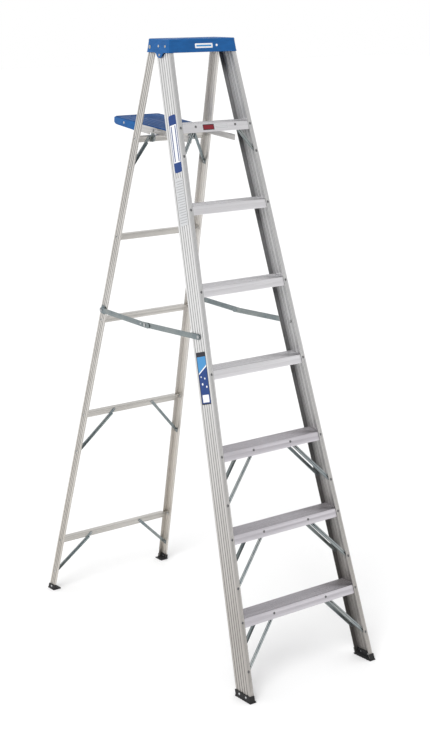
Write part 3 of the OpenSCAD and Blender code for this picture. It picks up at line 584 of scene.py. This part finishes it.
def dark_steel(name, low, high, metallic=1.0, roughness=0.5):
    """Dull metal with a fine grain between two colours; it also colours the painted shade of the rivet stems'
    holes and the painted shadow round the rivet heads.
    """
    s = Shade(name, metallic=metallic)
    fine = s.noise(s.mapped(scale=(1200, 1200, 1200)), detail=3)
    s.drive("Base Color", s.mix(s.ramp(fine, 0.35, 0.65), low, high))
    s.drive("Roughness", s.ramp(fine, 0.3, 0.7, roughness - 0.08, roughness + 0.12))
    s.bump(fine, 0.15, 0.08 * MM)
    return s.mat


def moulded_plastic(name, deep, light, roughness=0.36, texture=0.12):
    """Injection-moulded plastic: fine spark texture, slight flow marks, paler rubbed high spots."""
    s = Shade(name, roughness=roughness)
    spark = s.noise(s.mapped(scale=(1100, 1100, 1100)), detail=2)
    flow = s.noise(s.mapped(scale=(14, 26, 40)), detail=4, distortion=0.8)
    scuff = s.noise(s.mapped(scale=(240, 60, 240)), detail=6, rough=0.75)
    colour = s.mix(s.ramp(flow, 0.3, 0.7), deep, light)
    wear_and_floor_shade = s.ramp(scuff, 0.67, 0.76)
    colour = s.mix(s.math("MULTIPLY", wear_and_floor_shade, 0.22), colour, tuple(min(1, c * 1.8 + 0.05) for c in light))
    s.drive("Base Color", colour)
    satin = s.ramp(spark, 0.3, 0.7, roughness - 0.05, roughness + 0.08)
    s.drive("Roughness", s.math("ADD", satin, s.math("MULTIPLY", wear_and_floor_shade, 0.12)))
    s.set("Specular IOR Level", 0.22)
    s.bump(spark, texture, 0.12 * MM)
    return s.mat


def boot_rubber(name):
    """Black moulded rubber with a fine grain and pale dust."""
    s = Shade(name, roughness=0.7)
    grain = s.noise(s.mapped(scale=(700, 700, 700)), detail=3)
    dust = s.noise(s.mapped(scale=(40, 40, 60)), detail=5, rough=0.7)
    dusty = s.ramp(dust, 0.52, 0.8, 0.0, 0.5)
    s.drive("Base Color", s.mix(dusty, (0.006, 0.006, 0.007), (0.028, 0.027, 0.026)))
    s.drive("Roughness", s.ramp(grain, 0.3, 0.7, 0.55, 0.8))
    s.bump(grain, 0.25, 0.2 * MM)
    return s.mat


def printed_film(name, colour, roughness=0.32, blotch=0.06):
    """Ink on a vinyl label: even colour with a little print mottle and a satin film."""
    s = Shade(name, roughness=roughness)
    mottle = s.noise(s.mapped(scale=(500, 500, 500)), detail=2)
    darker = tuple(c * (1 - 3 * blotch) for c in colour)
    s.drive("Base Color", s.mix(s.ramp(mottle, 0.35, 0.65), darker, colour))
    s.drive("Roughness", s.ramp(mottle, 0.3, 0.7, roughness - 0.04, roughness + 0.06))
    s.set("Specular IOR Level", 0.25)
    s.bump(mottle, 0.05, 0.05 * MM)
    return s.mat


# bright, dull, the channel's inside (painted shade on the front rails, painted light on the rear), the painted
# shade and floor reflection towards the bottom, and depth of painted shade beside the ribs
FRONT_METAL = ((0.82, 0.82, 0.82), (0.67, 0.668, 0.665), (0.58, 0.58, 0.585), (0.66, 0.63, 0.60), 0.85)
# the rear rails' bright and dull are a darker, warmer copy of the front's: painted shade
REAR_METAL = ((0.76, 0.74, 0.71), (0.52, 0.50, 0.475), (0.93, 0.905, 0.87), (0.88, 0.86, 0.83), 0.40)
rail_materials = {}
for side, hand in ((-1, "left"), (1, "right")):
    front = section_matrix(FRONT_LEAN, side * FRONT_SPLAY, side * FRONT_HALF, FRONT_Y)
    rear = section_matrix(-REAR_LEAN, side * REAR_SPLAY, side * REAR_HALF, REAR_Y)
    rail_materials["front" + hand] = rail_aluminium(
        f"front_rail_{hand}_aluminium", front, side, (0.0, RAIL_DEPTH), 5, 4, *FRONT_METAL)
    rail_materials["rear" + hand] = rail_aluminium(
        f"rear_rail_{hand}_aluminium", rear, side, (-REAR_DEPTH, 0.0), 3, 2, *REAR_METAL)
# the tread colour is painted shade, and the groove colour is painted shade in the grip grooves
step_metal = step_aluminium(
    "step_aluminium", (0.88, 0.87, 0.89), (0.74, 0.73, 0.75), (0.62, 0.615, 0.62), (0.12, 0.118, 0.12))
# the rear bars' aluminium is darker and warmer than the front's: painted shade on the rear section
bar_metal = plain_aluminium("bar_aluminium", 0, (0.60, 0.58, 0.55), (0.44, 0.425, 0.40))
arm_metal = plain_aluminium("arm_aluminium", 1, (0.62, 0.61, 0.60), (0.46, 0.45, 0.44))
zinc = zinc_plate("zinc_plate")
# painted highlight on the brace beads
bead_highlight_zinc = zinc_plate("zinc_bead_highlight", (0.46, 0.50, 0.51), (0.56, 0.58, 0.57), (0.70, 0.73, 0.74))
# painted shade on the strip between the brace beads
valley_shade_zinc = zinc_plate("zinc_valley_shade", (0.045, 0.052, 0.055), (0.075, 0.080, 0.080), (0.14, 0.15, 0.15))
rivet_metal = plated_rivet("plated_rivet")
# seated rivets darker than the plated ones: partly their steel, partly painted shade
shaded_steel_rivet = dark_steel("shaded_steel_rivet", (0.13, 0.13, 0.135), (0.24, 0.24, 0.245), 1.0, 0.4)
# near-black stem: painted shade of the hole in the rivet head
stem_metal = dark_steel("rivet_stem", (0.025, 0.025, 0.027), (0.06, 0.06, 0.062))
# painted shadow round the rivet heads
seat_shadow = dark_steel("rivet_seat_shadow", (0.07, 0.068, 0.066), (0.16, 0.155, 0.15), 0.4, 0.7)
blue = moulded_plastic("moulded_blue", (0.005, 0.074, 0.235), (0.009, 0.104, 0.320), 0.42)
# a darker copy of the moulded blue for the tray's top and beads: painted shade
tray_shaded_blue = moulded_plastic("tray_shaded_blue", (0.004, 0.046, 0.165), (0.007, 0.070, 0.230), 0.55, 0.16)
rubber = boot_rubber("boot_rubber")
ink_blue = printed_film("ink_blue", (0.008, 0.045, 0.20))
ink_light = printed_film("ink_light_blue", (0.06, 0.27, 0.56))
ink_white = printed_film("ink_white", (0.82, 0.82, 0.83), 0.38, 0.02)
ink_dark = printed_film("ink_dark", (0.02, 0.02, 0.03))
ink_grey = printed_film("ink_grey", (0.36, 0.36, 0.37), 0.4, 0.02)
ink_red = printed_film("ink_red", (0.22, 0.02, 0.03))
ink_pale = printed_film("ink_pale", (0.55, 0.56, 0.57), 0.4, 0.02)

# ---------- metal pieces with broken edges ----------
body_of = {n: b for b, names in frame["record"]["behaviour"]["bodies"].items() for n in names}
for hand in ("left", "right"):
    softened("front_rail_" + hand, "front_section", rail_materials["front" + hand])
    softened("rear_rail_" + hand, "rear_section", rail_materials["rear" + hand])
for k in range(1, STEPS + 1):
    softened(f"step_{k}", "front_section", step_metal)
for k in range(1, 6):
    softened(f"rear_bar_{k}", "rear_section", bar_metal)
softened("shelf_arms", "shelf", arm_metal)
KNEE_BRACES = ("knee_braces_1", "knee_braces_2", "knee_braces_3", "knee_braces_7")
for node in (*KNEE_BRACES, "rear_braces", "spreader_brackets", "shelf_brackets", "spreader_front_left",
             "spreader_front_right", "spreader_rear_left", "spreader_rear_right"):
    softened(node, body_of[node], zinc, 0.3 * MM)
for node in KNEE_BRACES:
    brace_beads(node)
for node in ("front_foot_left", "front_foot_right", "rear_foot_left", "rear_foot_right"):
    softened(node, body_of[node], rubber, 1.0 * MM)
SEATED_RIVETS = ("step_rivets", "knee_rivets")
for node in body_of:
    if "rivets" in node or "pin" in node or "washers" in node:
        obj = frame["nodes"][node]
        obj.data.materials.clear()
        obj.data.materials.append(shaded_steel_rivet if node in SEATED_RIVETS else rivet_metal)
for node in (*SEATED_RIVETS, "rear_rivets"):
    rivet_details(node, body_of[node], node in SEATED_RIVETS)


# ---------- top cap ----------
def cap_outline(z, inset, r):
    """The cap's outline at height z, less inset all round: it narrows a little towards the top."""
    t = (z - CAP_Z) / (CAP_TOP - CAP_Z)
    half = CAP_HALF + (CAP_TOP_HALF - CAP_HALF) * t - inset
    front = CAP_FRONT + (CAP_TOP_FRONT - CAP_FRONT) * t + inset
    rear = CAP_REAR + (CAP_TOP_REAR - CAP_REAR) * t - inset
    return rounded_rect(-half, half, front, rear, max(r - inset, 1.5 * MM), 8, 16)


def make_cap():
    """The cap's shell from its open underside round the skirt and over the top edge to the oval dip."""
    r, wall, edge = 9 * MM, 3 * MM, 3.5 * MM
    dip_corner, dip_y = r + 6 * MM, 0.041

    def ring(z, level, inset, corner=r):
        return [(x, y, z) for x, y in cap_outline(level, inset, corner)]

    # inner wall and the skirt's lower edge
    ceiling = CAP_TOP - 4 * MM
    rings = [ring(ceiling, ceiling, wall)]
    for lift, inset in ((0.6 * MM, wall), (0, wall - 0.8 * MM), (0, 0.8 * MM), (0.8 * MM, 0)):
        rings.append(ring(CAP_Z + lift, CAP_Z, inset))
    # the skirt stands 0.6 mm back between a low band at its lower edge and one at the top
    for level, inset in ((CAP_Z + 5 * MM, 0), (CAP_Z + 5.6 * MM, 0.6 * MM), (CAP_TOP - 9 * MM, 0.6 * MM),
                         (CAP_TOP - 8.4 * MM, 0)):
        rings.append(ring(level, level, inset))
    for i in range(6):
        a = math.radians(90 * i / 5)
        z = CAP_TOP - edge + edge * math.sin(a)
        rings.append(ring(z, z, edge * (1 - math.cos(a))))
    for drop, inset in ((0, 9), (0.5, 9.6), (1.6, 10.4)):
        rings.append(ring(CAP_TOP - drop * MM, CAP_TOP, inset * MM, dip_corner))
    middle = cap_outline(CAP_TOP, 11 * MM, dip_corner)
    dips = ((1.6, 66, 38), (1.75, 65, 37), (2.2, 64, 36), (2.9, 63, 35), (3.35, 62, 34), (3.5, 61, 33))
    for depth, rx, ry in dips:
        dip = ellipse_like(middle, 0, dip_y, rx * MM, ry * MM)
        rings.append([(x, y, CAP_TOP - depth * MM) for x, y in dip])
    bm = bmesh.new()
    loft(bm, rings)
    cap = new_object("cap_shell", bm, blue)
    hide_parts("top_cap")
    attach(cap, "front_section")


def make_cap_ear(side):
    """The rounded lug below the cap's side that takes the lower rivet."""
    n, middle, inner, outer = 20, 0.027, 0.1594, 0.1624
    lobe = [(0.020 * math.cos(math.pi * i / n), -0.0195 * math.sin(math.pi * i / n)) for i in range(n + 1)]
    shoulder = [(0.031, 0.006), (0.031, 0.001), (0.0245, -0.0015)]
    outline = shoulder + lobe[2:-2] + [(-u, v) for u, v in reversed(shoulder)]

    def place(u, v, w):
        return Vector((side * w, middle + u, CAP_Z + v))

    hand = "left" if side < 0 else "right"
    ear = plate(f"cap_ear_{hand}", outline, place, inner, outer, blue, 0.7 * MM)
    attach(ear, "front_section")


def make_cap_ribs():
    """Stiffening webs under the cap's ceiling."""
    top, bottom = CAP_TOP - 3.6 * MM, CAP_Z + 0.027
    outline = [(-0.0255, bottom), (0.105, bottom), (0.1025, top), (-0.0205, top)]

    def place(u, v, w):
        return Vector((w, u, v))

    for i, x in enumerate((-0.088, -0.030, 0.030, 0.088)):
        rib = plate(f"cap_rib_{i}", outline, place, x - 1.2 * MM, x + 1.2 * MM, blue, 0.4 * MM, 2)
        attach(rib, "front_section")


def cap_front_place(u, v, w):
    """Across, up and out on the cap's sloping front face, which stands 0.6 mm back."""
    t = v / (CAP_TOP - CAP_Z)
    return Vector((u, CAP_FRONT + (CAP_TOP_FRONT - CAP_FRONT) * t + 0.6 * MM - w, CAP_Z + v))


def make_cap_emblem():
    """A plain pale plate with a light blue band, and a pale dot beside it. Nothing is written on them."""
    v = 0.0235    # the plate's middle above the skirt's edge
    outer = rounded_rect(-0.036, 0.046, v - 8.5 * MM, v + 8.5 * MM, 3 * MM, 5)
    band = rounded_rect(-0.030, 0.040, v - 3.0 * MM, v + 3.0 * MM, 1.2 * MM, 4)
    dot = oval(0.0655, v + 0.001, 0.0045, 0.0045, 28)
    pieces = [
        plate("emblem_plate", outer, cap_front_place, 0, 0.3 * MM, ink_white, 0.1 * MM, 2),
        plate("emblem_band", band, cap_front_place, 0.2 * MM, 0.4 * MM, ink_light),
        plate("emblem_dot", dot, cap_front_place, 0, 0.3 * MM, ink_white),
    ]
    for piece in pieces:
        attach(piece, "front_section")


# ---------- pail shelf ----------
def squared_oval(cy, rx, ry, n, power=0.62):
    """An oval with full shoulders, about the tray's middle."""
    out = []
    for i in range(n):
        c, t = math.cos(2 * math.pi * i / n), math.sin(2 * math.pi * i / n)
        out.append((rx * math.copysign(abs(c) ** power, c), cy + ry * math.copysign(abs(t) ** power, t)))
    return out


# a tray bead's section, outside to inside, in mm: how far it grows the oval, and its height over the floor
BEAD_SECTION = ((3.2, -0.3), (2.8, 0.7), (1.9, 1.2), (0.9, 1.35),
                (-0.9, 1.35), (-1.9, 1.2), (-2.8, 0.7), (-3.2, -0.3))


def make_shelf():
    """The tray's top, four oval beads on it one in the other, its skirts, two walls and the ribs below it."""
    y0, y1, z0, corner = SHELF_FRONT, SHELF_REAR, ARM_TOP, 12 * MM
    place = placed(shelf_frame())

    def ring(inset, z):
        outline = rounded_rect(-SHELF_HALF + inset, SHELF_HALF - inset, y0 + inset, y1 - inset,
                               max(corner - inset, 2 * MM))
        return [place(x, y, z) for x, y in outline]

    top, floor, edge = z0 + 5.6 * MM, z0 + 4.0 * MM, 2 * MM
    rings = [ring(1.0 * MM, z0), ring(0.2 * MM, z0 + 0.6 * MM), ring(0, z0 + 1.4 * MM), ring(0, top - edge)]
    for i in range(1, 5):
        a = math.radians(90 * i / 4)
        rings.append(ring(edge * (1 - math.cos(a)), top - edge + edge * math.sin(a)))
    rings += [ring(4.4 * MM, top), ring(5.2 * MM, top - 0.4 * MM)]
    rings += [ring(5.6 * MM, floor), ring(24 * MM, floor)]
    bm = bmesh.new()
    loft(bm, rings)
    tray = new_object("shelf_top", bm, tray_shaded_blue)
    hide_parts("shelf_tray")
    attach(tray, "shelf")

    middle = (y0 + y1) / 2
    for i, (rx, ry) in enumerate(((0.084, 0.158), (0.062, 0.136), (0.040, 0.114), (0.018, 0.092))):
        bm = bmesh.new()
        loops = []
        for grow, height in BEAD_SECTION:
            outline = squared_oval(middle, rx + grow * MM, ry + grow * MM, 64)
            loops.append([bm.verts.new(place(x, y, floor + height * MM)) for x, y in outline])
        for a, b in zip(loops, loops[1:] + loops[:1]):
            bridge(bm, a, b)
        bead = new_object(f"shelf_bead_{i}", bm, tray_shaded_blue)
        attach(bead, "shelf")

    # the skirts hang at the sides of the rear half, with a round lower rear corner
    n, reach, fall = 8, 0.026, 0.010
    start, under, level = 0.118, z0 + 0.002, z0 + 0.001 - 0.017
    quarter = [math.pi / 2 * i / n for i in range(n + 1)]
    bend = [(y1 - reach + reach * math.sin(a), level - fall * math.cos(a)) for a in quarter]
    outline = [(start, under), (start, z0 - 0.030)] + bend + [(y1, under)]
    for side in (-1, 1):
        skirt = plate(f"shelf_skirt_{side + 1}", outline, lambda u, v, w: place(side * w, u, v),
                      SHELF_HALF - 3 * MM, SHELF_HALF, blue, 0.8 * MM)
        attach(skirt, "shelf")

    half = SHELF_HALF - 1 * MM
    rear = rounded_rect(-half, half, z0 - 0.015, under, 2 * MM, 4)
    lip = rounded_rect(-0.086, 0.086, z0 - 0.009, under, 1.5 * MM, 4)
    walls = (("shelf_rear_wall", rear, y1 - 3.2 * MM, y1 - 0.2 * MM),
             ("shelf_front_lip", lip, y0 + 0.2 * MM, y0 + 3 * MM))
    for name, outline, low, high in walls:
        wall = plate(name, outline, lambda u, v, w: place(u, w, v), low, high, blue, 0.7 * MM)
        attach(wall, "shelf")

    front, back, low, high = y0 + 2 * MM, y1 - 4 * MM, z0 - 0.0085, z0 + 0.001
    outline = [(front, high), (front, low), (back, low), (back, high)]
    for i, x in enumerate((-0.060, -0.020, 0.020, 0.060)):
        rib = plate(f"shelf_rib_{i}", outline, lambda u, v, w: place(w, u, v), x - 1 * MM, x + 1 * MM, blue,
                    0.4 * MM, 2)
        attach(rib, "shelf")


# ---------- labels on the left rail and the top step ----------
def rail_label(name, outline, layer, material):
    """A film on the front left rail's outer web: across the web, up the rail."""
    matrix = left_rail_frame()
    high = (0.12 + 0.06 * layer) * MM
    film = plate(name, outline, lambda u, v, w: matrix @ Vector((w, u, v)), 0.05 * MM, high, material)
    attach(film, "front_section")


STRIP_MIDDLE = 0.0325    # across the web, the middle of the strip
STRIP_RULE = 0.012       # from there to each of its rules
RULE_PITCH = 0.0096      # between two rules on the pale film
CARD_DOTS = ((0.024, 1.165, 0.004), (0.048, 1.176, 0.0045), (0.030, 1.196, 0.0035), (0.052, 1.203, 0.003))


def make_rail_labels():
    """A plain two-tone strip, a pale film with plain rules, and a card of plain colour fields and dots."""
    u = STRIP_MIDDLE
    rail_label("strip_back", rounded_rect(u - 0.0235, u + 0.0235, 1.961, 2.175, 0.010), 0, ink_blue)
    rail_label("strip_field", rounded_rect(u - 0.0205, u + 0.0205, 1.998, 2.138, 0.002), 1, ink_white)
    for i in (-1, 1):
        middle = u + i * STRIP_RULE
        rule = rounded_rect(middle - 0.0028, middle + 0.0028, 2.002, 2.134, 0.001, 3)
        rail_label(f"strip_rule_{i + 1}", rule, 2, ink_blue)
    rail_label("pale_film", rounded_rect(0.012, 0.064, 1.764, 1.942, 0.003), 0, ink_pale)
    for i in range(17):
        v = 1.774 + i * RULE_PITCH
        shorter = 0.009 if i % 4 == 3 else 0
        rule = rounded_rect(0.016, 0.060 - shorter, v, v + 0.0028, 0.0008, 3)
        rail_label(f"pale_rule_{i}", rule, 1, ink_grey)
    rail_label("card_frame", rounded_rect(0.009, 0.0665, 1.100, 1.294, 0.003), 0, ink_dark)
    rail_label("card_light", rounded_rect(0.0115, 0.064, 1.104, 1.277, 0.002), 1, ink_light)
    deep = [(0.0115, 1.104), (0.064, 1.104), (0.064, 1.212), (0.0115, 1.240)]
    rail_label("card_deep", deep, 2, ink_blue)
    slash = [(0.0115, 1.2395), (0.064, 1.2115), (0.064, 1.216), (0.0115, 1.2455)]
    rail_label("card_slash", slash, 3, ink_white)
    rail_label("card_box", rounded_rect(0.018, 0.0575, 1.108, 1.136, 0.002), 3, ink_white)
    for i, (cu, cv, r) in enumerate(CARD_DOTS):
        rail_label(f"card_dot_{i}", oval(cu, cv, r, r, 24), 3, ink_white)


def step_label(name, x0, x1, v0, v1, layer, material):
    """A film on the top step's front skirt, v0 to v1 below the tread."""
    lean = math.radians(FRONT_LEAN)
    tread = STEPS * STEP_PITCH
    outline = rounded_rect(x0, x1, -v1, -v0, 1.2 * MM, 4)

    def place(u, v, w):
        z = tread + v
        y = FRONT_Y + z * math.tan(lean) + WALL / math.cos(lean) - w
        return Vector((u, y, z))

    film = plate(name, outline, place, 0.05 * MM, (0.15 + 0.08 * layer) * MM, material)
    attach(film, "front_section")


def make_step_labels():
    """A plain dark red plate with a dark edge, and three plain rules beside it."""
    step_label("plate_edge", -0.060, -0.008, 4 * MM, 24.5 * MM, 0, ink_dark)
    step_label("plate_red", -0.0575, -0.0105, 6.5 * MM, 22 * MM, 1, ink_red)
    for i in range(3):
        top = (6.5 + 5.5 * i) * MM
        step_label(f"plate_rule_{i}", 0.000, 0.056, top, top + 3 * MM, 0, ink_pale)


# along the rear link from its knuckle end, in shares of its half width: the stud, and the pad's two ends
STUD_AT, PAD_FROM, PAD_TO = -5.15, -6.3, -4.0
# the stud's profile in mm: radius and height over the link
STUD = ((0, 0.2), (4.2, 0.2), (4.2, 1.1), (3.4, 2.0), (1.8, 2.5), (0, 2.6))


def make_knuckle_studs():
    """The second stud of each spreader knuckle and the pressed pad under it, on the rear link."""
    for side, hand in ((-1, "left"), (1, "right")):
        link = frame["nodes"]["spreader_rear_" + hand]
        points = np.array([v.co for v in link.data.vertices])
        outer = np.abs(points[:, 0]).max()
        flat = points[:, 1:]
        middle = flat.mean(0)
        along = np.linalg.eigh(np.cov((flat - middle).T))[1][:, 1]
        along = along if along[0] < 0 else -along
        across = np.array((-along[1], along[0]))
        u, v = (flat - middle) @ along, (flat - middle) @ across
        half, knuckle, centre = (v.max() - v.min()) / 2, u.max(), (v.max() + v.min()) / 2

        def place(a, b, w):
            at = middle + along * (knuckle + a) + across * (centre + b)
            return Vector((side * (outer + w), at[0], at[1]))

        outline = rounded_rect(PAD_FROM * half, PAD_TO * half, -0.62 * half, 0.62 * half, 0.3 * half, 5)
        pad = plate(f"knuckle_pad_{hand}", outline, place, -0.3 * MM, 0.7 * MM, zinc, 0.4 * MM)
        bm = bmesh.new()
        lathe(bm, place(STUD_AT * half, 0, 0), Vector((side, 0, 0)), [(r * MM, t * MM) for r, t in STUD], 20)
        stud = new_object(f"knuckle_stud_{hand}", bm, rivet_metal)
        for piece, slot in ((pad, "zinc_steel"), (stud, "rivet_steel")):
            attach(piece, "spreader_rear_" + hand)


make_knuckle_studs()
make_cap()
make_cap_ribs()
for side in (-1, 1):
    make_cap_ear(side)
make_cap_emblem()
make_shelf()
make_rail_labels()
make_step_labels()


# ---------- stage, light and camera ----------
FLOOR_HALF = 40
# solved from the photograph: the camera's place, its yaw, pitch and roll in degrees, its lens in mm and its
# shift
CAMERA_AT, CAMERA_TURN = (-3.4779, -4.6200, 2.5170), (37.457, -13.92, -0.193)
CAMERA_LENS, CAMERA_SHIFT = 73.21, (0.0032, -0.0077)
# the sun's direction, strength and width in degrees
SUN_DIRECTION, SUN_STRENGTH, SUN_WIDTH = (0.62, 0.42, -0.66), 1.55, 35
# the room's light, eased from its front to its back, and how far above the horizon that sets in: the first two
# numbers are places on the unit sphere, and the last two are the values there
ROOM_FADE, ROOM_EDGE = (-0.85, 0.15, 0.60, 1.0), (0.04, 0.16, 0.0, 1.0)


def make_floor():
    """Plain pale paper with a faint fibre."""
    s = Shade("paper_floor", roughness=0.9)
    fibre = s.noise(s.mapped(scale=(300, 300, 300)), detail=3)
    s.drive("Base Color", s.mix(s.ramp(fibre, 0.3, 0.7), (0.90, 0.90, 0.90), (0.93, 0.93, 0.93)))
    s.set("Specular IOR Level", 0.1)
    bm = bmesh.new()
    for x, y in ((-1, -1), (1, -1), (1, 1), (-1, 1)):
        bm.verts.new((x * FLOOR_HALF, y * FLOOR_HALF, -0.2 * MM))
    bm.faces.new(list(bm.verts))
    floor = new_object("floor", bm, s.mat)


def make_sun():
    """Even light from one side, with soft shadows."""
    light = bpy.data.lights.new("key", "SUN")
    light.energy = SUN_STRENGTH
    light.angle = math.radians(SUN_WIDTH)
    obj = bpy.data.objects.new("key", light)
    obj.rotation_euler = Vector(SUN_DIRECTION).to_track_quat("-Z", "Y").to_euler()
    bpy.context.scene.collection.objects.link(obj)


def soft_range(tree, value, limits):
    """The value eased from the first two limits to the last two."""
    node = tree.nodes.new("ShaderNodeMapRange")
    node.interpolation_type = "SMOOTHSTEP"
    for socket, limit in zip(("From Min", "From Max", "To Min", "To Max"), limits):
        node.inputs[socket].default_value = limit
    tree.links.new(value, node.inputs["Value"])
    return node.outputs["Result"]


def make_light():
    """A white sweep behind the ladder and a dimmer room in front of it, which gives the metal contrast."""
    world = bpy.data.worlds.new("studio")
    bpy.context.scene.world = world
    world.use_nodes = True
    tree = world.node_tree
    coords = tree.nodes.new("ShaderNodeTexCoord")
    split = tree.nodes.new("ShaderNodeSeparateXYZ")
    tree.links.new(coords.outputs["Generated"], split.inputs[0])
    background = tree.nodes["Background"]
    background.inputs["Color"].default_value = (1, 1, 1, 1)
    blend = tree.nodes.new("ShaderNodeMix")
    blend.data_type = "FLOAT"
    blend.inputs["A"].default_value = 1.0
    tree.links.new(soft_range(tree, split.outputs["Z"], ROOM_EDGE), blend.inputs["Factor"])
    tree.links.new(soft_range(tree, split.outputs["Y"], ROOM_FADE), blend.inputs["B"])
    tree.links.new(blend.outputs["Result"], background.inputs["Strength"])
    make_sun()


def make_camera():
    """Three-quarter view from the front left, a little above the cap."""
    yaw, pitch, roll = (math.radians(a) for a in CAMERA_TURN)
    forward = Vector((math.sin(yaw) * math.cos(pitch), math.cos(yaw) * math.cos(pitch), math.sin(pitch)))
    right = Vector((math.cos(yaw), -math.sin(yaw), 0))
    up = right.cross(forward)
    right, up = right * math.cos(roll) + up * math.sin(roll), up * math.cos(roll) - right * math.sin(roll)
    basis = Matrix((right, up, -forward)).transposed().to_4x4()
    camera = bpy.data.cameras.new("camera")
    camera.sensor_fit = "AUTO"
    camera.sensor_width = 36
    camera.lens = CAMERA_LENS
    camera.shift_x, camera.shift_y = CAMERA_SHIFT
    camera.clip_end = 200
    obj = bpy.data.objects.new("camera", camera)
    obj.matrix_world = Matrix.Translation(CAMERA_AT) @ basis
    bpy.context.scene.collection.objects.link(obj)
    bpy.context.scene.camera = obj


make_floor()
make_light()
make_camera()
bpy.context.scene.view_settings.view_transform = "Standard"
bpy.context.scene.view_settings.look = "None"
